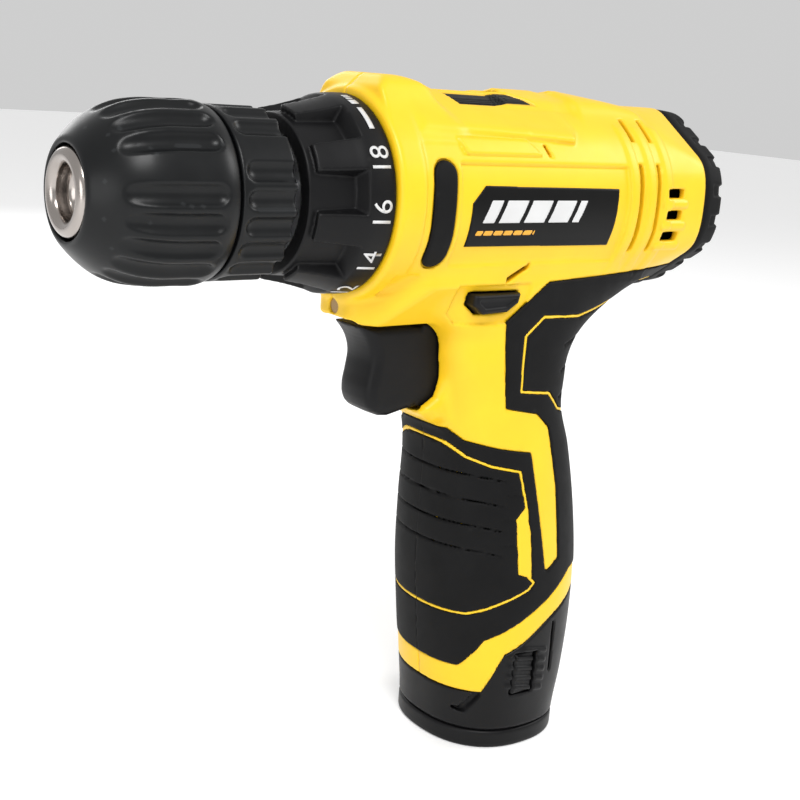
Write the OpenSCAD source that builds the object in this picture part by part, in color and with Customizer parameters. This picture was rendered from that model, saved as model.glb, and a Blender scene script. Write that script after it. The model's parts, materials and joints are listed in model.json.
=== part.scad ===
// Compact pistol-grip cordless drill.
// +X points out of the chuck, +Y is the tool's left side, +Z is up.
// The origin is the middle of the battery's flat bottom face. All sizes are in millimetres.

/* [Stance] */
// Height of the chuck axis above the flat base
axis_h = 137; // [136.5:0.5:138]

/* [Motor housing] */
// Radius of the motor barrel
barrel_r = 22.5; // [22.3:0.1:23]
// Front face of the barrel along X
barrel_front = 54; // [53.8:0.1:54.2]
// Back face of the barrel along X
barrel_back = -41; // [-42:0.5:-41]
// Height of the flat top deck above the chuck axis
deck_h = 24.4; // [24:0.2:25]
// Wall thickness of the barrel
wall = 2.2; // [2:0.1:2.4]

/* [Handle] */
// Half width of the handle at the palm swell
palm_b = 21.3; // [21.2:0.1:21.8]
// Half length of the handle at the palm swell
palm_a = 22.2; // [22:0.1:22.8]
// Thickness of the soft grip skin
skin = 1.2; // [0.8:0.1:1.2]

/* [Chuck] */
// Front end of the bright nose along X
nose_x = 118; // [117.5:0.5:119]
// Radius of the bit hole in the nose
bit_r = 5.3; // [5.2:0.05:5.4]
// Lean of each jaw from the chuck axis, in degrees
jaw_lean = 18; // [17.9:0.1:18.1]
// Radius of a jaw rod
jaw_r = 3.2; // [3.1:0.05:3.2]

/* [Gears] */
// Tooth module of every gear in the three stages
gear_m = 0.7; // [0.69:0.01:0.7]
// Teeth on each sun gear
sun_teeth = 16; // [16:2:16]
// Teeth on each planet gear
planet_teeth = 14; // [14:2:14]
// Backlash at the pitch line
backlash = 0.16; // [0.14:0.02:0.24]

/* [Battery] */
// Radius of one battery cell
cell_r = 8.5; // [8.3:0.1:8.5]
// Length of one battery cell
cell_len = 50; // [48:1:50]

/* [Hidden] */
$fn = 48;
ring_teeth = sun_teeth + 2 * planet_teeth;
planet_orbit = gear_m * (sun_teeth + planet_teeth) / 2;
pin_r = 1.5;
pin_fit = 0.05;
spindle_r = 5;
stage_x = [17, 25.4, 34];
planet_w = [4, 4.6, 5];
bearing_r = 9.5;
case_r = 19.4;
case_bore = 17.6;
chuck_back = 76;
sleeve_seam = 88.5;
nut_x = [95, 99.6];
jaw_tip_x = 113;
jaw_tip_r = 1.065;
jaw_back_x = 95;
bar_x = [14.6, 28.4];
bar_z = [112.5, 116.9];
bar_y = 20.2;
light_z = 112.4;
nose_hole_x = 113.2;
screw_head_y = -14.6;
head_drop = 2;
seam_gap = 0.4;
tower_x = 1;
cell_orbit = (cell_r + 0.1) * 2 / sqrt(3);
tower_top = 61;
SCREWS = [[-14, 113.5], [-4, 104], [-2, 90.5], [13, 79], [-4, 79], [41, 115]];
CELLS = [for (a = [0, 120, 240]) [tower_x - 1 + cell_orbit * cos(a), cell_orbit * sin(a)]];

// ---- helpers -------------------------------------------------------------------------------------
// Children drawn around local Z land around the chuck axis, with local Z as world X.
module on_axis(x = 0) translate([x, 0, axis_h]) rotate([0, 90, 0]) children();

// A tube around the chuck axis from x0 to x1.
module tube(x0, x1, r_out, r_in) on_axis(x0) difference() {
  cylinder(h = x1 - x0, r = r_out);
  if (r_in > 0) translate([0, 0, -1]) cylinder(h = x1 - x0 + 2, r = r_in);
}

// A solid turned around the chuck axis; the outline is a list of [x, radius].
module turned(outline) on_axis() rotate_extrude() polygon([for (p = outline) [p[1], p[0]]]);

// A side-view outline of [x, z] points, cut right through from y0 to y1.
module side_cut(outline, y0, y1) translate([0, y1, 0]) rotate([90, 0, 0])
  linear_extrude(y1 - y0) polygon(outline);

module box(low, high) translate(low) cube(high - low);

function oval(a, b, n = 2.4, count = 36) = [for (i = [0 : count - 1])
  let (t = 360 * i / count, c = cos(t), s = sin(t))
  [a * sign(c) * pow(abs(c), 2 / n), b * sign(s) * pow(abs(s), 2 / n)]];

module slice(x, z, a, b) translate([x, 0, z]) linear_extrude(0.02) polygon(oval(a, b));

// The handle's outside, or the same shape pulled in by inset.
module handle_shape(inset = 0) hull() {
  slice(0.2, 4.4, 18.9 - inset, 19.8 - inset);
  slice(0.2, 17, 20.1 - inset, 20.8 - inset);
  slice(1.8, 47, palm_a - inset, palm_b - inset);
  slice(7, 100, 19.2 - inset, 19.6 - inset);
}

// Involute tooth flank half angle at radius r, for n teeth of the shared module.
function inv(a) = tan(a) * 180 / PI - a;
function half_angle(n, r, thin) = let (rp = gear_m * n / 2, rb = rp * cos(20))
  90 / n - thin / 2 / rp * 180 / PI + inv(20) - inv(r > rb ? acos(rb / r) : 0);
function tooth(n, root, tip, thin) = [for (k = [0 : 3]) let (r = root + (tip - root) * k / 3)
  [r, half_angle(n, r, thin)]];
function gear_outline(n, add, ded, thin) = let (rp = gear_m * n / 2,
  flank = tooth(n, rp - ded * gear_m, rp + add * gear_m, thin))
  [for (i = [0 : n - 1]) each concat(
    [for (p = flank) let (a = 360 * i / n - p[1]) [p[0] * cos(a), p[0] * sin(a)]],
    [for (k = [3 : -1 : 0]) let (p = flank[k], a = 360 * i / n + p[1]) [p[0] * cos(a), p[0] * sin(a)]])];

module spur(n, x, width) on_axis(x) linear_extrude(width) polygon(gear_outline(n, 0.8, 1.1, backlash));

module ring_gear(x0, x1, r_out) on_axis(x0) difference() {
  cylinder(h = x1 - x0, r = r_out);
  translate([0, 0, -1]) rotate(180 / ring_teeth) linear_extrude(x1 - x0 + 2)
    polygon(gear_outline(ring_teeth, 1.1, 0.8, -backlash));
}

// One planet of a stage; step 0, 1 or 2 counts round the sun by 120 degrees.
module planet(stage, step) on_axis(stage_x[stage]) rotate(120 * step) translate([planet_orbit, 0, 0])
  rotate(120 * step * sun_teeth / planet_teeth + 180 / planet_teeth) difference() {
    linear_extrude(planet_w[stage]) polygon(gear_outline(planet_teeth, 0.8, 1.1, backlash));
    translate([0, 0, -1]) cylinder(h = planet_w[stage] + 2, r = pin_r + pin_fit);
  }

module planet_pins(x0, x1) for (k = [0 : 2])
  on_axis(x0) rotate(120 * k) translate([planet_orbit, 0, 0]) cylinder(h = x1 - x0, r = pin_r);

// A coil spring of round wire swept around the chuck-parallel line at height z.
module coil(x0, x1, z, coil_r, wire_r, turns) {
  steps = turns * 16;
  sides = 6;
  pitch = (x1 - x0 - 2 * wire_r) / steps;
  points = [for (i = [0 : steps]) for (j = [0 : sides - 1])
    let (a = 360 * i / 16, r = coil_r + wire_r * cos(60 * j))
    [x0 + wire_r + i * pitch + wire_r * sin(60 * j), r * cos(a), z + r * sin(a)]];
  walls = [for (i = [0 : steps - 1]) for (j = [0 : sides - 1])
    let (a = i * sides + j, b = i * sides + (j + 1) % sides)
    each [[a, a + sides, b], [b, a + sides, b + sides]]];
  ends = [[for (j = [0 : sides - 1]) j], [for (j = [sides - 1 : -1 : 0]) steps * sides + j]];
  polyhedron(points, concat(walls, ends), convexity = 6);
}

// ---- housing -------------------------------------------------------------------------------------
NECK = [[54, 120], [54, 110.4], [47, 109], [29, 109], [28.2, 100], [27.5, 90], [23, 82], [21, 70], [-15, 70],
  [-12.5, 84], [-11.5, 94], [-15, 103], [-23, 110], [-35, 117], [-35, 125], [54, 125]];
NECK_CAVITY = [[51.5, 120], [51.5, 111.5], [28, 111.5], [27.5, 100], [25, 90], [21, 82], [19, 68],
  [-12.8, 68], [-10.3, 84], [-9.3, 94], [-13, 101.5], [-21, 108.5], [-33, 116], [-33, 124], [51.5, 124]];
LIP = [[20, 80], [25.5, 82.5], [33.6, 87], [33.6, 87.7], [20, 87.7]];
SEAM = [[-40, -5], [40, -5], [40, 15.2], [13.4, 15.8], [9.6, 26.2], [5.3, 28.6], [-3.2, 34.5], [-13, 39.5],
  [-40, 46]];
FRONT_PAD = [[40, 86], [20.4, 80.9], [13.7, 79.6], [5, 78], [0.3, 50], [3, 45], [12.4, 40.4], [18.7, 37],
  [40, 35]];
BACK_PAD = [[-2, 98], [-3.7, 69], [-6, 50], [-10, 47], [-40, 47], [-40, 98]];

// One raised stretch of the top, from x0 to x1, with a flat crown of half width w at height h.
module crown(x0, x1, h, w) on_axis(x0) linear_extrude(x1 - x0)
  polygon([[-h, -w], [-h, w], [-17, 15.6], [-10, 15.6], [-10, -15.6], [-17, -15.6]]);

// The flat deck, the taller bump over its front end and the low hump behind the speed selector.
module deck() {
  crown(-24, 46, deck_h, 8.5);
  crown(42, 52, deck_h + 1.8, 6);
  crown(-15, -5, deck_h + 0.8, 7.5);
}

module housing_outside() {
  on_axis(barrel_back) cylinder(h = barrel_front - barrel_back, r = barrel_r);
  deck();
  side_cut(NECK, -18, 18);
  side_cut(LIP, -7, 7);
  handle_shape();
}

module housing_cavity() {
  on_axis(barrel_back + wall) cylinder(h = barrel_front - barrel_back - 2 * wall, r = barrel_r - wall);
  tube(barrel_front - 4, barrel_front + 1, 17.2, 0);
  side_cut(NECK_CAVITY, -15.8, 15.8);
  handle_shape(skin + 0.01);
}

module grip_zone() {
  side_cut(FRONT_PAD, -30, 30);
  side_cut(BACK_PAD, -30, 30);
}

// Slots for the trigger, the direction bar, the speed selector and the work light.
module housing_windows() {
  box([24, -6.9, 87.8], [56, 6.9, 110.6]);
  box([bar_x[0] - 0.4, -25, bar_z[0] - 0.4], [bar_x[1] + 0.4, 25, bar_z[1] + 0.4]);
  box([13, -4.4, axis_h + 18], [33, 4.4, axis_h + 30]);
  translate([45, 0, light_z]) rotate([0, 90, 0]) cylinder(h = 12, r = 1.75);
  for (k = [0 : 1]) vent_arc(-17.5 - 6 * k);
}

// A slot that runs part of the way round the barrel, open on the left and the right.
module vent_arc(x) for (side = [-1, 1]) for (k = [-1, 1])
  on_axis(x) rotate([0, 0, 90 * side + 24 * k]) translate([barrel_r - 3, -6, 0]) cube([6, 12, 1.6]);

module screw_line(y0, y1, r) for (s = SCREWS)
  translate([s[0], y1, s[1]]) rotate([90, 0, 0]) cylinder(h = y1 - y0, r = r);

module housing_half(side) difference() {
  union() {
    difference() {
      housing_outside();
      housing_cavity();
    }
    intersection() {
      housing_outside();
      difference() {
        screw_line(-17, 17, 3.1);
        tube(barrel_back, barrel_front, case_r + 0.05, 0);
      }
    }
  }
  box([-100, side > 0 ? -60 : 0, -10], [130, side > 0 ? 0 : 60, 200]);
  side_cut(SEAM, -60, 60);
  housing_windows();
  screw_line(-19, 13, 1.5);
  screw_line(-60, screw_head_y + head_drop, 2.9);
  intersection() {
    grip_zone();
    box([-40, -40, 30], [40, 40, 69.9]);
  }
}

module housing_left() color("gold") housing_half(1);
module housing_right() color("gold") housing_half(-1);

// The grips are the skin between the handle's outside and the same shape pulled in.
module grip(side) difference() {
  intersection() {
    handle_shape();
    grip_zone();
    box([-40, side > 0 ? 0 : -40, 30], [40, side > 0 ? 40 : 0, 69.9]);
  }
  handle_shape(skin);
}
module grip_left() color("dimgray") grip(1);
module grip_right() color("dimgray") grip(-1);

module rear_cap() color("dimgray") turned([[barrel_back, 17], [barrel_back, 22.4], [-44.5, 22.4],
  [-47.5, 20.5], [-49, 17], [-49, 0], [-46.5, 0], [-46.5, 15.5], [-44, 17]]);

// A patch of the barrel's own curve, raised by height and limited by a side-view outline.
module barrel_patch(height) for (side = [-1, 1]) intersection() {
  tube(-20, 60, barrel_r + height, barrel_r);
  scale([1, side, 1]) intersection() {
    box([-60, 0, 100], [60, 60, 180]);
    children();
  }
}
module side_pads() color("dimgray") barrel_patch(0.6) union() {
  box([38.8, 0, 126.5], [45, 60, 143.5]);
  for (z = [126.5, 143.5]) translate([41.9, 60, z]) rotate([90, 0, 0]) cylinder(h = 60, r = 3.1);
}
module side_badges() color("black") barrel_patch(0.3)
  side_cut([[34.3, 128], [34.3, 137.4], [30.8, 141.3], [-10.5, 141], [-10.3, 127.8]], 0, 60);

module housing_screws() color("gray") difference() {
  union() {
    screw_line(screw_head_y, 12.5, 1.5);
    screw_line(screw_head_y, screw_head_y + head_drop, 2.7);
  }
  for (s = SCREWS) box([s[0] - 2, screw_head_y - 1, s[1] - 0.4], [s[0] + 2, screw_head_y + 1, s[1] + 0.4]);
}

module work_light() color("white") translate([49, 0, light_z]) rotate([0, 90, 0])
  cylinder(h = 4.4, r = 1.7);
module light_board() color("green") box([47, -4.5, 111.7], [49, 4.5, 114.9]);

// ---- switch and controls -------------------------------------------------------------------------
module switch_body() color("dimgray") difference() {
  box([1, -7, 90.6], [24.4, 7, 108.5]);
  translate([16, 0, 98]) rotate([0, 90, 0]) cylinder(h = 12, r = 2.7);
}
TRIGGER = [[31, 108.4], [49.6, 108.4], [46.6, 103.4], [45.8, 99], [45.8, 95], [44.8, 91.4], [41.5, 88.8],
  [37, 88.2], [31, 88.6]];
module trigger() color("dimgray") {
  side_cut(TRIGGER, -6.4, 6.4);
  translate([22, 0, 98]) rotate([0, 90, 0]) cylinder(h = 9.5, r = 2.3);
}
module trigger_spring() color("silver") coil(24.5, 30.9, 98, 3.6, 0.4, 4);
module direction_bar() color("dimgray") union() {
  box([bar_x[0], -bar_y, bar_z[0]], [bar_x[1], bar_y, bar_z[1]]);
  for (y = [-bar_y, bar_y - 1.2]) box([bar_x[0] + 4, y, bar_z[0] - 0.3], [bar_x[0] + 5, y + 1.2, bar_z[0]]);
}
module speed_selector() color("dimgray") union() {
  box([17.5, -4, axis_h + 22.6], [29.5, 4, axis_h + 24.2]);
  for (x = [20, 23, 26]) box([x, -3.4, axis_h + 24.2], [x + 1.2, 3.4, axis_h + deck_h + 0.5]);
}
module shift_wire() color("silver") box([26.6, -2, axis_h + 17], [29.6, 2, axis_h + 22.6]);

// ---- gearbox -------------------------------------------------------------------------------------
module gear_case() color("lightgray") difference() {
  union() {
    tube(16, 47, case_r, case_bore);
    tube(44.5, 47, case_r, 8);
    tube(47, 71, 13, 6);
  }
  tube(60, 68, bearing_r, 0);
  tube(68, 72, 8, 0);
  tube(46, 60, 6, 0);
  box([22, -3, axis_h + 15], [31.5, 3, axis_h + 21]);
  for (k = [0 : 5]) on_axis(44) rotate(60 * k) translate([15.4, 0, 0]) cylinder(h = 4, r = 2.05);
}
module gear_case_cover() color("dimgray") difference() {
  tube(14, 16, case_r, 5);
  for (k = [0 : 1]) on_axis(13) rotate(180 * k) translate([0, 8.5, 0]) cylinder(h = 4, r = 1.5);
}
module ring_gear_1() color("silver") ring_gear(16.2, 21.4, 17.5);
module ring_gear_2() color("silver") difference() {
  ring_gear(25.2, 31.2, 17.3);
  box([26.6, -2, axis_h + 17], [29.6, 2, axis_h + 20]);
}
module ring_gear_3() color("silver") {
  ring_gear(33.8, 39.4, 17.5);
  tube(39.4, 44.2, 17.5, 14.8);
}
module motor_pinion() color("goldenrod") difference() {
  spur(sun_teeth, 16.6, 4.7);
  tube(16, 22, 1.6, 0);
}
module planet_1a() color("silver") planet(0, 0);
module planet_1b() color("silver") planet(0, 1);
module planet_1c() color("silver") planet(0, 2);
module planet_2a() color("silver") planet(1, 0);
module planet_2b() color("silver") planet(1, 1);
module planet_2c() color("silver") planet(1, 2);
module planet_3a() color("silver") planet(2, 0);
module planet_3b() color("silver") planet(2, 1);
module planet_3c() color("silver") planet(2, 2);
module carrier_1() color("gray") {
  tube(21.7, 24.8, 14, 0);
  planet_pins(17, 21.7);
  spur(sun_teeth, 24.8, 6.4);
}
module carrier_2() color("gray") {
  tube(31.5, 33.5, 14, 0);
  planet_pins(25.4, 31.5);
  spur(sun_teeth, 33.5, 6.2);
}
module spindle() color("lightsteelblue") difference() {
  union() {
    tube(40.3, 43.8, 14, 0);
    planet_pins(34, 40.3);
    tube(43.8, 86, spindle_r, 0);
  }
  tube(78, 87, 2, 0);
}
module spindle_bearing() color("silver") tube(60, 68, bearing_r, spindle_r + 0.03);
module clutch_nut() color("slategray") tube(64.2, 69, 15.6, 13.3);
module clutch_spring() color("silver") coil(49, 64, axis_h, 14.3, 0.8, 5);
module clutch_balls() color("silver") for (k = [0 : 5])
  on_axis(46.2) rotate(60 * k) translate([15.4, 0, 0]) sphere(r = 2);

COLLAR = [[54.5, 16.1], [54.5, 21.6], [59.5, 21.5], [62, 20.4], [70, 18.7], [72.8, 18.4], [72.8, 13.4],
  [71.4, 13.4], [71.4, 16.1]];
module torque_collar() color("dimgray") difference() {
  turned(COLLAR);
  for (k = [0 : 7]) on_axis(61.5) rotate([0, 5, 45 * k + 20]) translate([19.4, -3.6, 0]) cube([6, 7.2, 8.6]);
}

// ---- motor ---------------------------------------------------------------------------------------
module motor_can() color("silver") difference() {
  tube(-32, 14, 18, 5);
  tube(-33, 12, 16.8, 0);
  for (k = [0 : 1]) on_axis(11) rotate(180 * k) translate([0, 8.5, 0]) cylinder(h = 4, r = 1.5);
}
module motor_end_cap() color("black") difference() {
  tube(-38, -32, 17.6, 0);
  tube(-36.5, -31, 14.5, 0);
}
module motor_magnets() color("dimgray") intersection() {
  tube(-26, 8, 16.8, 13.4);
  union() {
    box([-30, -40, axis_h - 9], [20, 0, axis_h + 9]);
    box([-30, 0, axis_h - 9], [20, 40, axis_h + 9]);
  }
}
module armature() color("peru") {
  difference() {
    tube(-20, 4, 12.6, 1.6);
    for (k = [0 : 4]) on_axis(-21) rotate(72 * k) translate([7, -1, 0]) cube([8, 2, 26]);
  }
  tube(-36, 21.3, 1.6, 0);
}
module commutator() color("goldenrod") tube(-31, -22, 5, 1.6);
module motor_brushes() color("dimgray") for (side = [-1, 1])
  box([-29, side > 0 ? 5.2 : -12, axis_h - 2], [-24, side > 0 ? 12 : -5.2, axis_h + 2]);

// ---- chuck ---------------------------------------------------------------------------------------
// Children drawn around local Z lie along one jaw's leaning line; local Z = 0 is the tip.
module jaw_line(k) on_axis(jaw_tip_x) rotate(120 * k) translate([jaw_tip_r, 0, 0])
  rotate([0, 180 - jaw_lean, 0]) children();

module jaw(k) intersection() {
  jaw_line(k) translate([0, 0, -3]) cylinder(h = 3 + (jaw_tip_x - jaw_back_x) / cos(jaw_lean), r = jaw_r);
  on_axis(70) rotate(120 * k) linear_extrude(jaw_tip_x - 70)
    polygon([[0.35, 0], [20, 34], [20, -34]]);
}
module jaw_1() color("darkgray") jaw(0);
module jaw_2() color("darkgray") jaw(1);
module jaw_3() color("darkgray") jaw(2);

module chuck_body() color("silver") difference() {
  turned([[chuck_back, 0], [chuck_back, 12.2], [94.8, 12.2], [94.8, 8], [99.8, 8], [99.8, 12.2],
    [110, 12.2], [112, 8.9], [117, 8.9], [nose_x, 7.6], [nose_x, 0]]);
  tube(86, nose_hole_x, bit_r - 0.3, 0);
  tube(nose_hole_x, nose_x + 1, bit_r, 0);
  tube(75, 86, spindle_r, 0);
  for (k = [0 : 2]) jaw_line(k) translate([0, 0, -2]) cylinder(h = 46, r = jaw_r + 0.06);
}
module chuck_screw() color("dimgray") difference() {
  union() {
    tube(86, 88.6, 3.4, 0);
    tube(79, 86, 2, 0);
  }
  on_axis(87.4) cylinder(h = 3, r = 1.4, $fn = 6);
}
module chuck_nut() color("dimgray") turned([[nut_x[0], 10.6], [nut_x[0], 14.6], [nut_x[1], 14.6],
  [nut_x[1], 9.1]]);

FRONT_SLEEVE = [[sleeve_seam + 0.2, 14.6], [sleeve_seam + 0.2, 17.4], [90, 18], [97, 18.6], [103, 18.5],
  [108.5, 17.3], [113, 14.7], [116, 11.6], [117.2, 10], [117.2, 9.3], [112.6, 9.3], [110.4, 12.7],
  [nut_x[1] + 0.2, 12.7],
  [nut_x[1] + 0.2, 14.6]];
module chuck_front_sleeve() color("dimgray") difference() {
  turned(FRONT_SLEEVE);
  for (k = [0 : 11]) on_axis(93) rotate(30 * k + 9) translate([19.8, 0, 0]) cylinder(h = 15, r = 1.9);
}
REAR_SLEEVE = [[chuck_back, 12.2], [chuck_back, 17.2], [77, 17.9], [86, 17.9], [sleeve_seam - 0.2, 17.2],
  [sleeve_seam - 0.2, 15.4], [78, 15.4], [78, 12.2]];
module chuck_rear_sleeve() color("dimgray") difference() {
  turned(REAR_SLEEVE);
  for (k = [0 : 17]) on_axis(79) rotate(20 * k) translate([18.9, 0, 0]) cylinder(h = 7.5, r = 1.5);
}

// ---- battery -------------------------------------------------------------------------------------
module tower() translate([0, 0, 6]) linear_extrude(tower_top - 6) hull()
  for (c = CELLS) translate(c) circle(r = cell_r + 0.5, $fn = 32);

module latch_pocket(side) box([-0.2, side > 0 ? 15 : -25, 14.6], [7, side > 0 ? 25 : -15, 26.4]);

module battery_case() color("dimgray") difference() {
  union() {
    intersection() {
      handle_shape();
      translate([0, 0, -seam_gap]) side_cut(SEAM, -60, 60);
      box([-40, -40, 4.6], [40, 40, 60]);
    }
    tower();
  }
  for (c = CELLS) translate([c[0], c[1], 7.5]) cylinder(h = cell_len + 1, r = cell_r + 0.05);
  latch_pocket(1);
  latch_pocket(-1);
}
module battery_base() color("dimgray") {
  translate([0.2, 0, 1]) linear_extrude(3.6) polygon(oval(18.9, 19.8));
  translate([0.2, 0, 0]) linear_extrude(1) polygon(oval(18.1, 19));
}
module battery_cells() color("seagreen") for (c = CELLS)
  translate([c[0], c[1], 7.8]) cylinder(h = cell_len, r = cell_r);
module battery_contacts() color("goldenrod") for (y = [-5, 0, 5])
  box([tower_x - 3, y - 1, tower_top], [tower_x + 3, y + 1, tower_top + 1.5]);
module latch(side) color("dimgray") union() {
  box([0.2, side > 0 ? 17.2 : -20.4, 15], [6.6, side > 0 ? 20.4 : -17.2, 26]);
  for (z = [16 : 2.6 : 24]) box([0.6, side > 0 ? 20.4 : -20.9, z], [6.2, side > 0 ? 20.9 : -20.4, z + 1.2]);
}
module latch_left() latch(1);
module latch_right() latch(-1);
module contact_block() color("black") union() {
  box([-4, -9, 66], [13, 9, 73]);
  for (y = [-5, 0, 5]) box([tower_x - 2, y - 0.5, 63.5], [tower_x + 2, y + 0.5, 66]);
}

housing_left();
housing_right();
grip_left();
grip_right();
rear_cap();
side_pads();
side_badges();
housing_screws();
work_light();
light_board();
switch_body();
trigger();
trigger_spring();
direction_bar();
speed_selector();
shift_wire();
gear_case();
gear_case_cover();
ring_gear_1();
ring_gear_2();
ring_gear_3();
motor_pinion();
planet_1a();
planet_1b();
planet_1c();
planet_2a();
planet_2b();
planet_2c();
planet_3a();
planet_3b();
planet_3c();
carrier_1();
carrier_2();
spindle();
spindle_bearing();
clutch_nut();
clutch_spring();
clutch_balls();
torque_collar();
motor_can();
motor_end_cap();
motor_magnets();
armature();
commutator();
motor_brushes();
chuck_body();
chuck_front_sleeve();
chuck_rear_sleeve();
chuck_nut();
jaw_1();
jaw_2();
jaw_3();
chuck_screw();
battery_case();
battery_base();
battery_cells();
battery_contacts();
latch_left();
latch_right();
contact_block();
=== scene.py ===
"""Looks of the cordless drill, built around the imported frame. Metres; the shape code works in mm."""
import json
import math

import bpy
import numpy as np
from mathutils import Matrix, Vector


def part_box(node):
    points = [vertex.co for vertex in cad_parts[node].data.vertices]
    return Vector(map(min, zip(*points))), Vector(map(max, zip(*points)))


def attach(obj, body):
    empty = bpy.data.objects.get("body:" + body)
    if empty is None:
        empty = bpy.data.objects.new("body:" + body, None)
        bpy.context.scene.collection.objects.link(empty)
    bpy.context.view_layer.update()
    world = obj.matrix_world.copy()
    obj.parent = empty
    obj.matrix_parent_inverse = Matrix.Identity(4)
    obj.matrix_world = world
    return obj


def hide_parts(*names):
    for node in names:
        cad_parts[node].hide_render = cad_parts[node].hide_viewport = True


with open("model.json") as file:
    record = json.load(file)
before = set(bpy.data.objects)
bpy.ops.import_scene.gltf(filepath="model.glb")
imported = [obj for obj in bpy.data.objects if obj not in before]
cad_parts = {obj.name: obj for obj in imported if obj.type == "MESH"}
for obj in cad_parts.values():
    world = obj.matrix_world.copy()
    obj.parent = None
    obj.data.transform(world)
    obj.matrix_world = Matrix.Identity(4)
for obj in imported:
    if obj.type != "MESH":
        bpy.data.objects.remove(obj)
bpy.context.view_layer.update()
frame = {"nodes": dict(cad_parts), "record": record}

MM = 0.001


def span(node):
    """Lowest and highest corner of a CAD node, in mm."""
    low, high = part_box(node)
    return np.array(low) / MM, np.array(high) / MM


chuck_low, chuck_high = span("chuck_body")
AXIS = (chuck_low[2] + chuck_high[2]) / 2
NOSE = chuck_high[0]
FRONT_LOW, FRONT_HIGH = (v[0] for v in span("chuck_front_sleeve"))
REAR_LOW, REAR_HIGH = (v[0] for v in span("chuck_rear_sleeve"))
COLLAR_LOW, COLLAR_HIGH = (v[0] for v in span("torque_collar"))
CAP_LOW, CAP_HIGH = (v[0] for v in span("rear_cap"))
BARREL_FRONT = span("housing_left")[1][0]
BARREL_R = span("side_pads")[1][1] - 0.6
DECK = span("housing_left")[1][2] - AXIS
DECK_TOP = DECK - 1.8
BASE_TOP = span("battery_base")[1][2]
TOWER_TOP = span("battery_case")[1][2]

# ---- camera, light and floor ---------------------------------------------------------------------


def make_camera():
    """The camera looks from the left front, a little above the chuck, rolled by four degrees."""
    data = bpy.data.cameras.new("camera")
    data.lens = 59.3
    data.clip_start, data.clip_end = 0.01, 20
    camera = bpy.data.objects.new("camera", data)
    bpy.context.scene.collection.objects.link(camera)
    right = Vector((-0.7963, 0.6003, 0.0741)).normalized()
    look = Vector((-0.5983, -0.7639, -0.2419)).normalized()
    up = right.cross(look).normalized()
    place = Vector((NOSE * MM + 0.1012, 0.2378, AXIS * MM + 0.0270))
    turn = Matrix((right, up, -look)).transposed()
    camera.matrix_world = Matrix.Translation(place) @ turn.to_4x4()
    bpy.context.scene.camera = camera


def area_light(name, place, aim, size, power, tint=(1, 1, 1)):
    data = bpy.data.lights.new(name, "AREA")
    data.shape, data.size, data.energy, data.color = "DISK", size, power, tint
    lamp = bpy.data.objects.new(name, data)
    bpy.context.scene.collection.objects.link(lamp)
    lamp.location = place
    lamp.rotation_euler = (Vector(aim) - Vector(place)).to_track_quat("-Z", "Y").to_euler()


def make_stage():
    world = bpy.data.worlds.new("studio")
    bpy.context.scene.world = world
    world.use_nodes = True
    world.node_tree.nodes["Background"].inputs["Color"].default_value = (1, 1, 1, 1)
    world.node_tree.nodes["Background"].inputs["Strength"].default_value = 0.62
    middle = (0.03, 0, 0.1)
    area_light("key", (0.35, 0.62, 0.95), middle, 0.45, 7.5)
    area_light("front", (0.95, 0.35, 0.25), middle, 0.5, 1.6)
    area_light("rim", (-0.7, 0.3, 0.6), middle, 0.4, 2.5)
    area_light("back", (-0.1, -0.9, 0.5), middle, 0.6, 2.5)
    reach = 3.0
    mesh = bpy.data.meshes.new("floor")
    mesh.from_pydata([(-reach, -reach, 0), (reach, -reach, 0), (reach, reach, 0), (-reach, reach, 0)],
                     [], [(0, 1, 2, 3)])
    floor = bpy.data.objects.new("floor", mesh)
    bpy.context.scene.collection.objects.link(floor)
    surface = bpy.data.materials.new("floor")
    surface.use_nodes = True
    shader = surface.node_tree.nodes["Principled BSDF"]
    shader.inputs["Base Color"].default_value = (0.90, 0.90, 0.90, 1)
    shader.inputs["Emission Color"].default_value = (1, 1, 1, 1)
    shader.inputs["Emission Strength"].default_value = 0.22
    shader.inputs["Roughness"].default_value = 0.6
    mesh.materials.append(surface)


make_camera()
make_stage()
bpy.context.scene.view_settings.view_transform = "Standard"

# ---- materials -----------------------------------------------------------------------------------


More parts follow.
